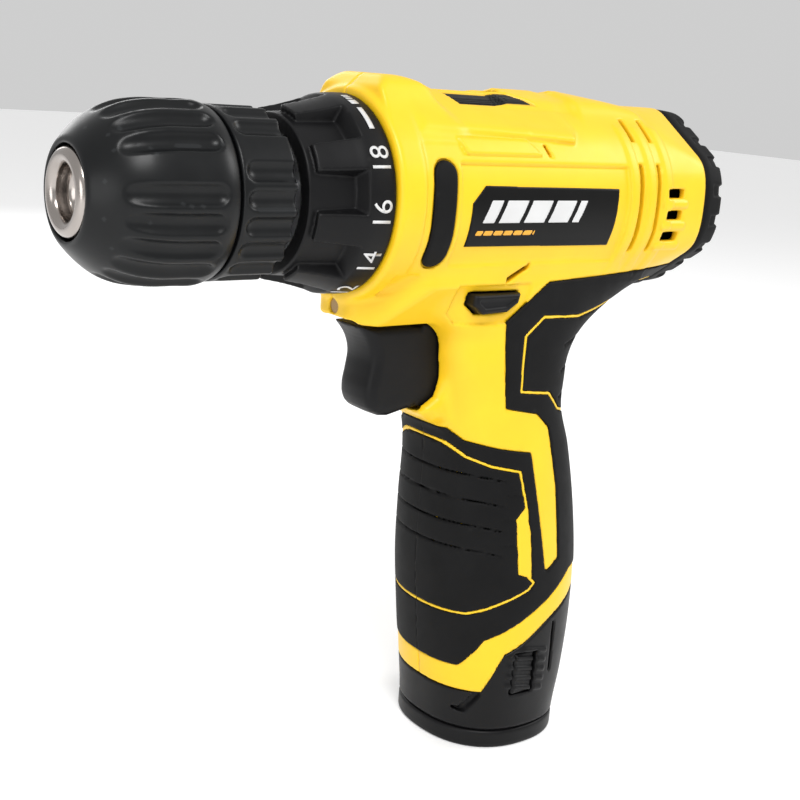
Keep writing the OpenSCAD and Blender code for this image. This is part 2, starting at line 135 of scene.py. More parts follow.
def finish_material(name, color, rough, grain=9000, bump=0.1, vary=0.06, metal=0.0, edge_highlight=0.0,
                    edge_highlight_color=None, coat=0.0, stretch=(1, 1, 1), ridge=0.00003, mottle=120, shine=0.5):
    """A moulded or machined surface: colour mottling, uneven gloss, fine grain and convex edges painted
    lighter as a highlight.
    """
    mat = bpy.data.materials.new(name)
    mat.use_nodes = True
    tree = mat.node_tree
    add, link = tree.nodes.new, tree.links.new
    shader = tree.nodes["Principled BSDF"]
    shader.inputs["Metallic"].default_value = metal
    shader.inputs["Specular IOR Level"].default_value = shine
    shader.inputs["Coat Weight"].default_value = coat
    shader.inputs["Coat Roughness"].default_value = 0.25
    place = add("ShaderNodeTexCoord")
    scale = add("ShaderNodeMapping")
    scale.inputs["Scale"].default_value = stretch
    link(place.outputs["Object"], scale.inputs["Vector"])

    def noise(size, detail=4.0):
        node = add("ShaderNodeTexNoise")
        node.inputs["Scale"].default_value = size
        node.inputs["Detail"].default_value = detail
        link(scale.outputs["Vector"], node.inputs["Vector"])
        return node

    cloud, fine = noise(mottle), noise(grain, 2.0)
    ramp = add("ShaderNodeValToRGB")
    low = tuple(c * (1 - vary) for c in color)
    high = tuple(min(1, c * (1 + vary)) for c in color)
    ramp.color_ramp.elements[0].position, ramp.color_ramp.elements[1].position = 0.3, 0.7
    ramp.color_ramp.elements[0].color, ramp.color_ramp.elements[1].color = (*low, 1), (*high, 1)
    link(cloud.outputs["Fac"], ramp.inputs["Fac"])
    tint = ramp.outputs["Color"]
    # Painted highlight: convex edges, found by pointiness, are lightened towards a lit tone of the colour.
    if edge_highlight > 0:
        edge = add("ShaderNodeNewGeometry")
        highlight_mask = add("ShaderNodeValToRGB")
        highlight_mask.color_ramp.elements[0].position, highlight_mask.color_ramp.elements[1].position = 0.53, 0.62
        highlight_mask.color_ramp.elements[0].color = (0, 0, 0, 1)
        highlight_mask.color_ramp.elements[1].color = (edge_highlight, edge_highlight, edge_highlight, 1)
        link(edge.outputs["Pointiness"], highlight_mask.inputs["Fac"])
        mix = add("ShaderNodeMix")
        mix.data_type = "RGBA"
        mix.inputs["B"].default_value = (*(edge_highlight_color or [min(1, c * 2.2 + 0.02) for c in color]), 1)
        link(highlight_mask.outputs["Color"], mix.inputs["Factor"])
        link(tint, mix.inputs["A"])
        tint = mix.outputs["Result"]
    link(tint, shader.inputs["Base Color"])
    gloss = add("ShaderNodeMapRange")
    gloss.inputs["To Min"].default_value = max(0.03, rough - 0.07)
    gloss.inputs["To Max"].default_value = rough + 0.07
    link(noise(mottle * 2.3, 5.0).outputs["Fac"], gloss.inputs["Value"])
    link(gloss.outputs["Result"], shader.inputs["Roughness"])
    relief = add("ShaderNodeBump")
    relief.inputs["Strength"].default_value = bump
    relief.inputs["Distance"].default_value = ridge
    link(fine.outputs["Fac"], relief.inputs["Height"])
    link(relief.outputs["Normal"], shader.inputs["Normal"])
    return mat


# The edge colours below are painted highlights: lit tones of each plastic laid on its convex edges.
YELLOW = finish_material("yellow_shell", (0.88, 0.545, 0.010), 0.40, grain=7000, bump=0.10, vary=0.03,
                         edge_highlight=0.25, edge_highlight_color=(1.0, 0.70, 0.08), shine=0.4)
RUBBER = finish_material("soft_grip", (0.0042, 0.0042, 0.0045), 0.62, grain=9000, bump=0.35, vary=0.2,
                         edge_highlight=0.25, edge_highlight_color=(0.018, 0.018, 0.018), shine=0.14)
BLACK = finish_material("black_moulding", (0.0045, 0.0045, 0.005), 0.42, grain=8000, bump=0.25, vary=0.15,
                        edge_highlight=0.3, edge_highlight_color=(0.02, 0.02, 0.02), shine=0.18)
SLEEVE = finish_material("sleeve_nylon", (0.0050, 0.0055, 0.006), 0.34, grain=6000, bump=0.18, vary=0.15,
                         edge_highlight=0.4, edge_highlight_color=(0.03, 0.032, 0.034), shine=0.24)
NICKEL = finish_material("nickel", (0.40, 0.365, 0.34), 0.2, grain=2500, bump=0.05, metal=1.0, vary=0.05)
JAW = finish_material("jaw_steel", (0.30, 0.29, 0.28), 0.34, grain=3000, bump=0.2, metal=1.0, vary=0.1)
STEEL = finish_material("machined_steel", (0.50, 0.50, 0.50), 0.3, grain=2500, bump=0.15, metal=1.0,
                        vary=0.06)
DARK_STEEL = finish_material("black_zinc", (0.07, 0.07, 0.075), 0.38, grain=3000, bump=0.2, metal=1.0)
ALLOY = finish_material("die_cast", (0.55, 0.56, 0.58), 0.45, grain=1800, bump=0.3, metal=1.0, vary=0.08)
BRASS = finish_material("brass", (0.70, 0.47, 0.16), 0.28, grain=2500, bump=0.1, metal=1.0)
COPPER = finish_material("windings", (0.55, 0.22, 0.09), 0.35, grain=1200, bump=0.5, metal=1.0)
CARBON = finish_material("carbon", (0.03, 0.03, 0.03), 0.6, grain=4000, bump=0.4)
BOARD = finish_material("board", (0.02, 0.12, 0.04), 0.35, grain=2000, bump=0.1)
WRAP = finish_material("cell_wrap", (0.03, 0.22, 0.13), 0.3, grain=500, bump=0.1, coat=0.4)
WHITE = finish_material("dial_print", (0.62, 0.62, 0.62), 0.5, grain=4000, bump=0.1, vary=0.05)
LABEL = finish_material("label_film", (0.0035, 0.0035, 0.0035), 0.36, grain=3000, bump=0.04, shine=0.14)
AMBER = finish_material("label_amber", (0.75, 0.36, 0.02), 0.35, grain=3000, bump=0.04)
LENS = finish_material("lens", (0.30, 0.17, 0.03), 0.2, grain=800, bump=0.03, vary=0.1, coat=0.3)

SLOT_FINISH = {
    "yellow_plastic": YELLOW, "grip_rubber": RUBBER, "black_plastic": BLACK, "badge_print": LABEL,
    "chuck_plastic": SLEEVE, "chuck_steel": NICKEL, "jaw_steel": JAW, "machined_steel": STEEL,
    "screw_steel": DARK_STEEL, "case_alloy": ALLOY, "gear_steel": STEEL, "brass": BRASS,
    "winding_copper": COPPER, "magnet": CARBON, "carbon": CARBON, "lens": LENS, "board": BOARD,
    "cell_wrap": WRAP,
}
for part in frame["record"]["subparts"]:
    cad = frame["nodes"][part["node"]]
    cad.data.materials.clear()
    cad.data.materials.append(SLOT_FINISH[part["material_slot"]])

# ---- distance fields -----------------------------------------------------------------------------
# Every shape below is a signed distance in mm: negative inside the material.


def smin(a, b, k):
    """The nearer of two shapes, blended with a fillet of about k mm."""
    h = np.clip(0.5 + 0.5 * (b - a) / k, 0, 1)
    return b * (1 - h) + a * h - k * h * (1 - h)


def smax(a, b, k):
    return -smin(-a, -b, k)


def outline(points):
    """Signed distance to a closed outline, as a function of two coordinates."""
    edges = list(zip(points, points[1:] + points[:1]))

    def distance(u, v):
        nearest, sign = None, 1.0
        for (ax, ay), (bx, by) in edges:
            ex, ey, wx, wy = bx - ax, by - ay, u - ax, v - ay
            t = np.clip((wx * ex + wy * ey) / (ex * ex + ey * ey), 0, 1)
            gap = (wx - ex * t) ** 2 + (wy - ey * t) ** 2
            nearest = gap if nearest is None else np.minimum(nearest, gap)
            above, below, left = v >= ay, v < by, ex * wy > ey * wx
            flip = (above & below & left) | ~(above | below | left)
            sign = np.where(flip, -sign, sign)
        return sign * np.sqrt(nearest)
    return distance


def stroke(points, u, v):
    """Distance to an open line of points."""
    nearest = None
    for (ax, ay), (bx, by) in zip(points, points[1:]):
        ex, ey, wx, wy = bx - ax, by - ay, u - ax, v - ay
        t = np.clip((wx * ex + wy * ey) / (ex * ex + ey * ey), 0, 1)
        gap = (wx - ex * t) ** 2 + (wy - ey * t) ** 2
        nearest = gap if nearest is None else np.minimum(nearest, gap)
    return np.sqrt(nearest)


def slab(u, middle, half):
    return np.abs(u - middle) - half


def block(x, y, z, low, high, rounding=0.5):
    """A box with rounded edges."""
    q = [np.abs(c - (a + b) / 2) - (b - a) / 2 + rounding for c, a, b in zip((x, y, z), low, high)]
    outside = np.sqrt(sum(np.maximum(c, 0) ** 2 for c in q))
    return outside + np.minimum(np.maximum(q[0], np.maximum(q[1], q[2])), 0) - rounding


def round_axis(y, z):
    """Distance from the chuck axis."""
    return np.sqrt(y * y + (z - AXIS) ** 2)


def curve(stations, values):
    """A cubic curve through a few stations, level beyond its ends."""
    stations, values = np.array(stations, float), np.array(values, float)
    slope = np.gradient(values, stations)

    def at(t):
        t = np.clip(t, stations[0], stations[-1])
        i = np.clip(np.searchsorted(stations, t) - 1, 0, len(stations) - 2)
        width = stations[i + 1] - stations[i]
        s = (t - stations[i]) / width
        return ((2 * s**3 - 3 * s**2 + 1) * values[i] + (s**3 - 2 * s**2 + s) * width * slope[i]
                + (3 * s**2 - 2 * s**3) * values[i + 1] + (s**3 - s**2) * width * slope[i + 1])
    return at


# ---- meshing -------------------------------------------------------------------------------------


def field_mesh(field, low, high, step):
    """Points and quads of a field's zero surface, pulled exactly onto it."""
    axes = [np.arange(a, b + step, step) for a, b in zip(low, high)]
    grid = np.meshgrid(*axes, indexing="ij", sparse=True)
    shape = tuple(len(a) for a in axes)
    value = np.broadcast_to(field(*grid), shape).astype(np.float32)
    inside = value < 0
    corners = [(i, j, k) for i in (0, 1) for j in (0, 1) for k in (0, 1)]

    def corner(array, c):
        return array[tuple(slice(o, n - 1 + o) for o, n in zip(c, shape))]

    filled = sum(corner(inside, c).astype(np.int8) for c in corners)
    index = np.argwhere((filled > 0) & (filled < 8))
    number = np.full([n - 1 for n in shape], -1, np.int32)
    number[tuple(index.T)] = np.arange(len(index))
    at = [value[tuple((index + c).T)] for c in corners]
    total, hits = np.zeros((len(index), 3)), np.zeros(len(index))
    for a, ca in enumerate(corners):
        for b, cb in enumerate(corners):
            if b <= a or sum(abs(p - q) for p, q in zip(ca, cb)) != 1:
                continue
            cross = (at[a] < 0) != (at[b] < 0)
            t = np.where(cross, at[a] / np.where(cross, at[a] - at[b], 1), 0)
            spot = np.array(ca) + t[:, None] * (np.array(cb) - np.array(ca))
            total += np.where(cross[:, None], spot, 0)
            hits += cross
    points = (index + total / hits[:, None]) * step + np.array(low)
    quads = []
    for axis in range(3):
        side, up = (axis + 1) % 3, (axis + 2) % 3
        here = [slice(1, -1)] * 3
        there = [slice(1, -1)] * 3
        here[axis], there[axis] = slice(0, -1), slice(1, None)
        start, end = inside[tuple(here)], inside[tuple(there)]
        edge = np.argwhere(start != end)
        leaving = start[tuple(edge.T)]
        base = edge + 1
        base[:, axis] -= 1
        loop = []
        for ds, du in ((-1, -1), (0, -1), (0, 0), (-1, 0)):
            cell = base.copy()
            cell[:, side] += ds
            cell[:, up] += du
            loop.append(number[tuple(cell.T)])
        loop = np.stack(loop, 1)
        quads.append(np.where(leaving[:, None], loop, loop[:, ::-1]))
    nudge = 0.03
    for _ in range(2):
        x, y, z = points.T
        here = field(x, y, z)
        slope = np.stack([(field(x + nudge * (a == 0), y + nudge * (a == 1), z + nudge * (a == 2))
                           - field(x - nudge * (a == 0), y - nudge * (a == 1), z - nudge * (a == 2)))
                          / (2 * nudge) for a in range(3)], 1)
        size = np.maximum((slope**2).sum(1), 0.2)
        move = slope * (here / size)[:, None]
        reach = np.maximum(np.linalg.norm(move, axis=1) / (0.45 * step), 1)
        points = points - move / reach[:, None]
    return points, np.concatenate(quads)


def make_piece(name, points, faces, body, material, replaces=()):
    mesh = bpy.data.meshes.new(name)
    mesh.from_pydata((np.asarray(points) * MM).tolist(), [], [tuple(int(i) for i in f) for f in faces])
    mesh.polygons.foreach_set("use_smooth", [True] * len(mesh.polygons))
    mesh.update()
    mesh.materials.append(material)
    piece = bpy.data.objects.new(name, mesh)
    bpy.context.scene.collection.objects.link(piece)
    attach(piece, body)
    if replaces:
        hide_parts(*replaces)
    return piece


def field_piece(name, field, low, high, step, body, material, replaces=()):
    points, quads = field_mesh(field, low, high, step)
    return make_piece(name, points, quads, body, material, replaces)


def both_sides(name, field, high, low, step, body, material, replaces=((), ())):
    """A left piece from a field and its mirror image on the right."""
    points, quads = field_mesh(field, low, high, step)
    make_piece(name + "_left", points, quads, body, material, replaces[0])
    make_piece(name + "_right", points * [1, -1, 1], quads[:, ::-1], body, material, replaces[1])


# ---- shared body shape ---------------------------------------------------------------------------
HEIGHTS = [0, 4.4, 17, 30, 47, 60, 77, 88, 94, 100, 106, 112, 118]
middle_x = curve(HEIGHTS, [0.2, 0.2, 0.2, 0.6, 1.8, 3.0, 5.2, 8.3, 8.9, 9.0, 7.8, 7.3, 5])
half_long = curve(HEIGHTS, [18.9, 18.9, 20.1, 21.4, 22.2, 21.4, 19.4, 18.3, 18.9, 19.6, 22.2, 30.7, 41])
half_wide = curve(HEIGHTS, [19.8, 19.8, 20.8, 21.3, 21.3, 20.8, 19.4, 18.3, 17.9, 17.7, 17.6, 17.7, 18])
squareness = curve(HEIGHTS, [2.3, 2.3, 2.3, 2.3, 2.3, 2.3, 2.4, 2.7, 2.9, 3.0, 3.0, 3.0, 3.0])


def handle(x, y, z):
    """The oval handle, waisted behind the trigger and flared into the motor housing."""
    a, b, n = half_long(z), half_wide(z), squareness(z)
    u, v = np.abs((x - middle_x(z)) / a), np.abs(y / b)
    reach = (u**n + v**n + 1e-9) ** (1 / n)
    steep = np.sqrt((u ** (n - 1) / a) ** 2 + (v ** (n - 1) / b) ** 2 + 1e-9) * reach ** (1 - n)
    return (reach - 1) / np.maximum(steep, 1 / 40)


deck_side = outline([(2.5, 13.6), (46, 15.4), (46, 40), (-0.5, 40), (-0.5, 16.2)])
hump_side = outline([(-4.5, 14), (-4.5, 40), (-28, 40), (-26, 14)])
upper_panel = outline([(37.2, 14.4), (17.0, 14.2), (13.4, 10.9), (35.4, 10.9)])
side_panel = outline([(37.4, -14.0), (37.4, 9.0), (-14.6, 9.0), (-14.6, -14.0)])
lower_panel = outline([(50, -21.5), (36, -21.5), (32.5, -15.4), (50, -15.4)])
button_field = outline([(32.4, -18.2), (32.2, -25), (29.5, -27.6), (12.5, -27.2), (11.0, -18.2)])
PANEL_DEPTH = 0.7


def barrel(x, y, z):
    """The motor barrel with its deck, flange, panels and creases, about the chuck axis."""
    w = z - AXIS
    r = round_axis(y, z)
    d = smax(r - BARREL_R, np.abs(y) - (BARREL_R - 0.35), 1.2)
    facet = 0.58 * np.abs(y) + 0.815 * np.abs(w) - 20.2 - 0.2 * (x - CAP_HIGH)
    d = smax(d, facet, 1.0)
    d = smax(d, slab(x, (BARREL_FRONT + CAP_HIGH) / 2, (BARREL_FRONT - CAP_HIGH) / 2), 0.8)
    raised = smax(0.97 * (w + 0.25 * np.abs(y) - DECK_TOP), 0.87 * (w + 0.56 * np.abs(y) - 25.95), 1.0)
    raised = smax(raised, deck_side(x, w), 3.2)
    d = smin(d, raised, 0.7)
    spine = smax(w + 0.25 * np.abs(y) - DECK_TOP, np.abs(y) - 9, 3.0)
    spine = smax(spine, slab(x, 5, 13), 3.0)
    hump = smax(w + 0.18 * np.abs(y) - (DECK_TOP + 0.75), (w + 1.5 * np.abs(y) - 36.8) / 1.8, 2.5)
    hump = smax(hump, hump_side(x, w), 2.0)
    hump = smax(hump, w - 0.2 * (x + 25) - 22.4, 2.5)
    d = smin(d, smax(smin(spine, hump, 1.5), 14 - w, 0.5), 1.4)
    bump = smax((w + 1.5 * np.abs(y) - 39.6) / 1.8, w - (DECK - 0.1), 2.2)
    bump = smax(smax(bump, w - 23.0 - 0.95 * (53.4 - x), 1.2), w - 24.5 - 0.32 * (x - 39), 1.2)
    bump = smax(bump, 0.8 * (39 - x) + 0.35 * (w - 24), 2.0)
    bump = smax(smax(bump, 14 - w, 0.5), x - 52.8, 0.8)
    d = smin(d, bump, 2.2)
    flange = smax(r - (BARREL_R + 0.55), np.abs(x - 50.6) - 3.3, 1.1)
    d = smin(d, flange, 0.8)
    plate = smax(smax(r - (BARREL_R + 0.75), upper_panel(x, w), 0.4), -w, 0.5)
    d = np.minimum(d, smax(plate, np.abs(y) - (BARREL_R - 0.4), 0.3))
    for panel_side in (side_panel, lower_panel):
        panel = smax(panel_side(x, w), BARREL_R - PANEL_DEPTH - r, 0.15)
        d = smax(d, -panel, 0.3)
    for hoop_x in (-15.4, -21.2, -27.0):
        hoop = smax(slab(x, hoop_x, 1.4), r - (BARREL_R + 0.35), 0.7)
        hoop = smax(hoop, np.abs(w) - 18.5, 1.2)
        d = smin(d, hoop, 0.5)
    return d


cheek_side = outline([(22, 84), (29, 85.5), (32.6, 87.6), (32.2, 89.0), (29.0, 91.0), (27.5, 94.5), (22, 98)])
lip_side = outline([(20, 80), (25.6, 83.0), (31.6, 86.4), (32.4, 87.3), (20, 87.3)])


def body_shape(x, y, z):
    """Outside of the housing before pads, slots and the seam are cut."""
    core = barrel(x, y, z)
    neck = smax(handle(x, y, z), z - (AXIS - 10), 1.0)
    d = smin(core, neck, 3.0)
    chin = outline([(9.5, 109.0), (17.8, 118.5), (17.8, 127), (-17.8, 127), (-17.8, 118.5), (-9.5, 109.0)])
    nose = smax(chin(y, z), slab(x, 35, BARREL_FRONT - 35.2), 1.6)
    nose = smax(nose, (np.abs(y) + 0.9 * (x - BARREL_FRONT) - 5.5) / 1.35, 1.6)
    d = smin(d, nose, 1.6)
    lip = smax(lip_side(x, z), np.abs(y) - 7.6, 1.4)
    cheek = smax(cheek_side(x, z), np.abs(y) - 9.3, 2.5)
    return smin(smin(d, lip, 1.5), cheek, 1.8)


SEAM = [(-40, -5), (40, -5), (40, 15.2), (13.4, 15.8), (9.6, 26.2), (5.3, 28.6), (-3.2, 34.5), (-13, 39.5),
        (-40, 46)]
seam = outline(SEAM)
PAD_LOWER = [(-40, 47), (-10, 45.7), (-2.3, 40.1), (6.2, 35.0), (14.6, 30.2), (18.1, 22.4), (21, 22.0),
             (40, 22.6)]
pad_area = outline(PAD_LOWER + [(40, 84), (24.7, 83.2), (22.4, 80.9), (15.7, 79.4), (7.1, 78.0), (3.6, 62),
                                (0.4, 47.9), (-0.2, 47.4), (-4.0, 50), (-1.7, 69), (1.5, 83.6), (5.6, 87.2),
                                (15.2, 89.2), (17.2, 110), (5.5, 119.0), (-43, 121.5), (-60, 110), (-60, 50)])
BACK_LINE = [(-40, 117), (-6, 110.2), (5.7, 110.6), (11.0, 106.3), (11.1, 93.0), (1.9, 91.9), (-2.5, 87.5),
             (-12, 84.5)]
FRONT_LINE = [(40, 81.5), (24.5, 79.6), (21.6, 76.8), (17.1, 75.0), (10.1, 73.6), (7.6, 64.0), (5.6, 46.6),
              (3.8, 45.0), (5.0, 43.4), (12.4, 40.2), (18.7, 37.0), (24, 36.6), (40, 37.6)]
tag = outline([(8.0, 64.6), (10.4, 61.8), (8.6, 47.6), (4.6, 46.2), (6.0, 58)])
PAD_DEPTH, PAD_PROUD = 0.9, 0.25


def inlay(x, z):
    """Side view of the thin yellow lines let into the pads."""
    line = np.minimum(stroke(FRONT_LINE, x, z), stroke(BACK_LINE, x, z)) - 0.33
    return np.minimum(line, tag(x, z))


BAR_LOW, BAR_HIGH = span("direction_bar")
LATCH_LOW, LATCH_HIGH = span("latch_left")
button_side = outline([
    (BAR_HIGH[0], BAR_HIGH[2]), (BAR_HIGH[0], BAR_LOW[2] + 2.2), (BAR_HIGH[0] - 2.8, BAR_LOW[2]),
    (BAR_LOW[0] + 3.8, BAR_LOW[2] + 0.3), (BAR_LOW[0] + 0.6, BAR_HIGH[2] - 2.4), (BAR_LOW[0], BAR_HIGH[2])])
LIGHT_Z, LIGHT_R = 112.4, 1.75
TRIGGER_GAP = 6.9
SCREW_SPOTS = [(-14, 113.5), (-4, 104), (-2, 90.5), (13, 79), (-4, 79), (41, 115)]
PILL_LINE = [(41.9, -10.5), (41.9, 6.5)]
RIBS = [(-30, 3.0), (-30, -2.2), (-30, -7.4)]


def vents(x, y, z):
    """The two hoop slots behind the label and the three windows between ribs."""
    w = z - AXIS
    angle = np.degrees(np.arctan2(w, np.abs(y)))
    hoops = np.minimum(slab(x, -18.2, 0.75), slab(x, -24.2, 0.65))
    lower = slab(angle, -2, 28) * 0.39
    upper = slab(angle, 50, 9) * 0.39
    d = smax(hoops, np.minimum(lower, upper), 0.4)
    for cx, cw in RIBS:
        d = np.minimum(d, smax(slab(x, cx, 3.2), slab(w, cw, 1.15), 0.6))
    small = smax(slab(x - 0.4 * (w - 12), 11.2, 0.5), slab(w, 11.8, 1.3), 0.3)
    d = np.minimum(d, small)
    slit = smax(slab(w + 0.55 * (x - 16), -15.6, 0.75), slab(x, 16, 3.2), 0.3)
    return np.minimum(d, slit)


def openings(x, y, z):
    """Space that the shell leaves for the trigger, buttons, light and collar."""
    trigger = smax(smax(slab(y, 0, TRIGGER_GAP), slab(z, 98.8, 11.3), 1.6), 22 - x, 0.5)
    bar = button_side(x, z) - 0.4
    selector = block(x, y, z, (13, -2.9, AXIS + 18), (33, 2.9, AXIS + 40), 0.6)
    light = smax(np.sqrt(y * y + (z - LIGHT_Z) ** 2) - LIGHT_R, 40 - x, 0.2)
    mouth = smax(round_axis(y, z) - 17.2, 46 - x, 0.3)
    d = np.minimum(np.minimum(trigger, bar), np.minimum(selector, light))
    return np.minimum(d, mouth)


def shell(x, y, z):
    """The hollow yellow shell."""
    w = z - AXIS
    outer = body_shape(x, y, z)
    d = outer
    for cx, cw in RIBS:
        rib = smax(smax(outer - 0.45, slab(x, cx, 4.6), 0.6), slab(w, cw - 2.6, 0.9), 0.5)
        rib = smax(rib, np.abs(y) - (BARREL_R + 0.4), 0.3)
        d = np.minimum(d, rib)
    well = smax(smax(button_field(x, w), -(outer + 0.55), 0.2), -np.abs(y) + 8, 0.2)
    d = smax(d, -well, 0.4)
    d = smax(d, -smax(pad_area(x, z), -(outer + PAD_DEPTH), 0.1), 0.25)
    pill = smax(stroke(PILL_LINE, x, w) - 3.3, -(outer + 0.9), 0.1)
    d = smax(d, -pill, 0.3)
    inset = outline([(29.6, 8.6), (6.8, 8.6), (12.0, 3.5), (31.9, 3.5)])
    top = smax(inset(x, np.abs(y)), AXIS + 18 - z, 0.1)
    d = smax(d, -smax(top, -(outer + 0.7), 0.1), 0.2)
    wall = np.where(z < 84, 1.3, 2.0)
    d = smax(d, -(outer + wall), 0.2)
    d = smax(d, -vents(x, y, z), 0.3)
    d = smax(d, -openings(x, y, z), 0.3)
    d = smax(d, -seam(x, z), 0.3)
    return smax(d, 0.08 - y, 0.12)


def screw_holes(x, y, z):
    """Distance to the nearest screw axis; y only spreads the result over the whole grid."""
    return np.minimum.reduce([np.sqrt((x - sx) ** 2 + (z - sz) ** 2) + 0 * y for sx, sz in SCREW_SPOTS])


def shell_right(x, y, z):
    """Mirror half with bosses and counterbores for the screws."""
    holes = screw_holes(x, y, z)
    boss = smax(smax(holes - 4.1, body_shape(x, y, z) + 0.1, 0.1), 12 - y, 0.2)
    boss = smax(boss, -openings(x, y, z), 0.1)
    d = np.minimum(shell(x, y, z), boss)
    return smax(d, -smax(holes - 2.95, 12.6 - y, 0.1), 0.35)


SHELL_LOW, SHELL_HIGH = (CAP_HIGH - 1, -1, 12), (BARREL_FRONT + 1.5, BARREL_R + 2, AXIS + DECK + 1.5)
FINE = 0.5


def make_shell():
    points, quads = field_mesh(shell, SHELL_LOW, SHELL_HIGH, FINE)
    make_piece("shell_left", points, quads, "housing", YELLOW, ("housing_left",))
    points, quads = field_mesh(shell_right, SHELL_LOW, SHELL_HIGH, FINE)
    make_piece("shell_right", points * [1, -1, 1], quads[:, ::-1], "housing", YELLOW,
               ("housing_right",))


def pad(x, y, z):
    """One side's soft overmould, proud of the shell, grooved, with room for the inlay lines."""
    outer = body_shape(x, y, z)
    d = smax(outer - PAD_PROUD, -(outer + PAD_DEPTH - 0.05), 0.1)
    d = smax(d, pad_area(x, z) + 0.06, 0.35)
    d = smax(d, -smax(inlay(x, z) - 0.05, -(outer + 0.5), 0.1), 0.1)
    ahead = np.clip((x - 9) / 10, 0, 1)
    for k in range(4):
        line = np.abs(z - (72.5 - 6.2 * k) + 0.012 * (24 - x) ** 2) - 0.22
        d = smax(d, -smax(smax(line, -(outer + 0.45 * ahead), 0.1), 13 - x, 0.3), 0.3)
    for k in range(3):
        dash = smax(np.abs(z - (68 - 6.3 * k)) - 0.22, slab(x, 11.2 + 0.3 * k, 2.2), 0.3)
        d = smax(d, -smax(dash, -(outer - 0.02), 0.1), 0.2)
    for k in range(3):
        groove = np.abs(z - (103.5 - 6.5 * k) + 0.25 * (x + 4)) - 0.28
        d = smax(d, -smax(smax(groove, -(outer + 0.3), 0.1), x + 2.5, 0.3), 0.35)
    d = smax(d, -openings(x, y, z), 0.3)
    d = smax(d, CAP_HIGH + 0.1 - x, 0.2)
    return np.maximum(d, -0.2 - y)


def inlay_strip(x, y, z):
    """The thin yellow lines and the tag, let into the pads."""
    outer = body_shape(x, y, z)
    d = smax(outer - PAD_PROUD + 0.12, -(outer + 0.45), 0.05)
    d = smax(d, inlay(x, z), 0.1)
    d = smax(d, pad_area(x, z) + 0.3, 0.1)
    return smax(smax(d, CAP_HIGH + 0.3 - x, 0.1), 0.05 - y, 0.1)


def make_grips():
    low, high = (CAP_HIGH - 1, -1, 18), (30, BARREL_R + 2, 124)
    both_sides("grip", pad, high, low, FINE, "housing", RUBBER,
               (("grip_left",), ("grip_right",)))
    both_sides("grip_line", inlay_strip, (28, BARREL_R + 2, 120), low, 0.35, "housing",
               YELLOW)


def side_pad(x, y, z):
    """The upright soft pill on each side, behind the collar."""
    outer = body_shape(x, y, z)
    pill = stroke(PILL_LINE, x, z - AXIS) - 3.0
    d = smax(outer - 0.35, -(outer + 0.85), 0.1)
    return smax(smax(d, pill, 0.7), 5 - y, 0.1)


def deck_inset(x, y, z):
    """The dark slanted plate let into each side of the deck, beside the speed slider."""
    outer = body_shape(x, y, z)
    inset = outline([(29.4, 8.4), (7.3, 8.4), (12.1, 3.7), (31.6, 3.7)])
    d = smax(outer + 0.3, -(outer + 0.66), 0.05)
    return smax(smax(d, inset(x, np.abs(y)), 0.3), AXIS + 18 - z, 0.1)


def rear_cap(x, y, z):
    """The black rear bumper: faceted like the housing, notched round its rim, with a dished end."""
    w = z - AXIS
    r = round_axis(y, z)
    angle = np.arctan2(w, y)
    back = np.maximum(CAP_HIGH - x, 0)
    d = smax(r - BARREL_R + 0.25 + 0.012 * back**2, np.abs(y) - 22.1 + 0.1 * back, 0.8)
    d = smax(d, 0.58 * np.abs(y) + 0.815 * np.abs(w) - 20.3 + 0.06 * back, 0.9)
    d = smax(d, slab(x, (CAP_LOW + CAP_HIGH) / 2, (CAP_HIGH - CAP_LOW) / 2 - 0.02), 2.2)
    turn = (np.mod(angle, math.pi / 9) - math.pi / 18) * 20
    notch = smax(smax(slab(turn, 0, 1.3), x - (CAP_LOW + 4.6), 0.3), -(d + 0.55), 0.1)
    d = smax(d, -notch, 0.4)
    dish = smax(r - 14.5, x - (CAP_LOW + 0.9), 0.6)
    d = smax(d, -dish, 0.5)
    hollow = smax(r - 17, CAP_LOW + 3 - x, 0.3)
    return smax(d, -hollow, 0.3)


# ---- chuck and collar ----------------------------------------------------------------------------
FLUTE_PITCH = 17.5
REAR_SLEEVE_R = 17.85
DIAL_R = 21.4
DIAL_X = 57.6
front_radius = curve([FRONT_LOW, 90.4, 97, 103, 107.5, 111, 114, 116.2, 118.5],
                     [17.5, 18.2, 18.55, 18.35, 17.45, 15.9, 13.6, 11.4, 8.6])


def trough(x, angle, r, middle, x0, x1, top, depth):
    """A round-bottomed flute along the axis with rounded ends, sunk into a turned surface."""
    bend = 2.5
    across = (np.mod(angle - middle + math.pi, 2 * math.pi) - math.pi) * top
    along = np.maximum(np.maximum(x0 - x, x - x1), 0)
    return np.sqrt(across**2 + 0.8 * along**2 + (r - top - bend + depth) ** 2) - bend


def flute_angles(first):
    """Six flutes in each of three groups, with a plain land between the groups."""
    return [math.radians(first - FLUTE_PITCH * k + 120 * g) for g in range(3) for k in range(6)]


def front_sleeve(x, y, z):
    """The bullet-shaped gripping sleeve, fluted and open at the nose."""
    r = round_axis(y, z)
    angle = np.arctan2(z - AXIS, y)
    top = front_radius(x)
    d = smax((r - top) * 0.85, slab(x, (FRONT_LOW + FRONT_HIGH) / 2, (FRONT_HIGH - FRONT_LOW) / 2), 0.6)
    depth = 1.35 - 1.2 * np.clip((x - 104) / 9, 0, 1) ** 2
    for middle in flute_angles(5.5):
        d = smax(d, -trough(x, angle, r, middle, 94.2, 110.4, top, depth), 0.35)
    bore = np.minimum(smax(r - 9.3, 111 - x, 0.3), smax(r - 14.0, x - 110.6, 0.3))
    return smax(d, -bore, 0.3)


